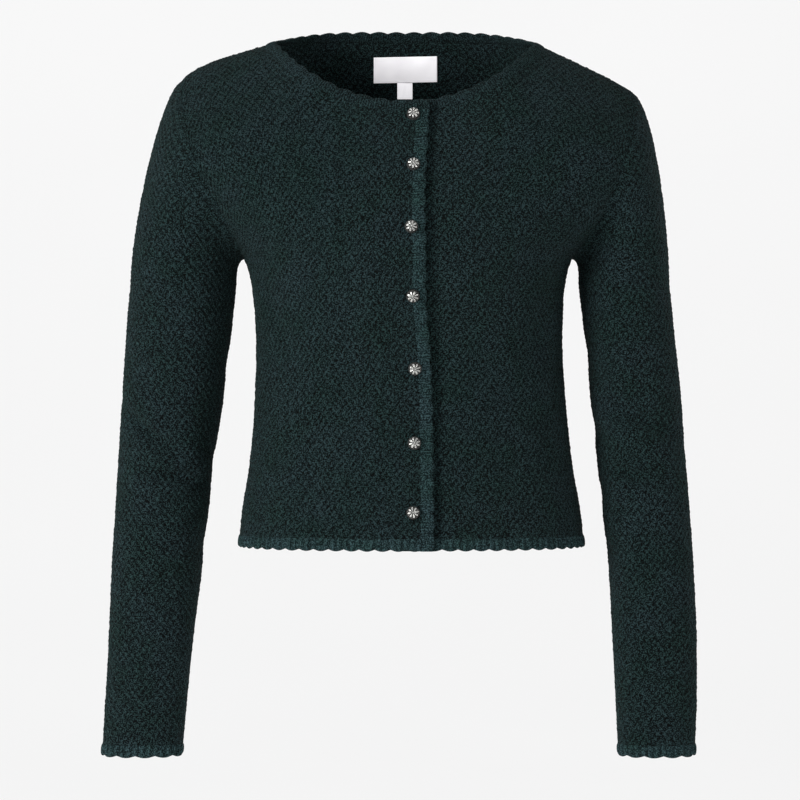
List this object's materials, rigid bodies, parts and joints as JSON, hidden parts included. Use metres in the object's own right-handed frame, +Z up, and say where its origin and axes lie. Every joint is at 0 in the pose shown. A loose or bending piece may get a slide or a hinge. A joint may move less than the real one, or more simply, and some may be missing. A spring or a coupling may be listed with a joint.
{
  "type": "cardigan",
  "caption": "Short knitted cardigan with long sleeves, a round neck, a buttoned front and scalloped bands, hollow and filled out as worn.",
  "frame": {"origin": "the middle between the neck points of the shoulders, where the shoulders carry the garment", "axes": "+Z up, -Y towards the buttoned front, +X towards the wearer's left sleeve"},
  "size_m": [0.5525, 0.2414, 0.6805],
  "materials": {
    "wool_knit": "matt wool, knitted in double moss stitch",
    "wool_rib": "matt wool, fine rib",
    "aged_metal": "antique silver, worn bright on the raised parts",
    "woven_label": "white woven tape"
  },
  "bodies": {
    "root": {"right_front": "wool_knit", "left_front": "wool_knit", "back": "wool_knit", "right_sleeve": "wool_knit", "left_sleeve": "wool_knit", "right_front_strip": "wool_rib", "left_front_strip": "wool_rib", "neckband": "wool_rib", "back_hem": "wool_rib", "right_front_hem": "wool_rib", "left_front_hem": "wool_rib", "right_cuff": "wool_rib", "left_cuff": "wool_rib", "label": "woven_label", "size_tab": "woven_label", "button_1": "aged_metal", "button_2": "aged_metal", "button_3": "aged_metal", "button_4": "aged_metal", "button_5": "aged_metal", "button_6": "aged_metal", "button_7": "aged_metal"}
  },
  "joints": []
}
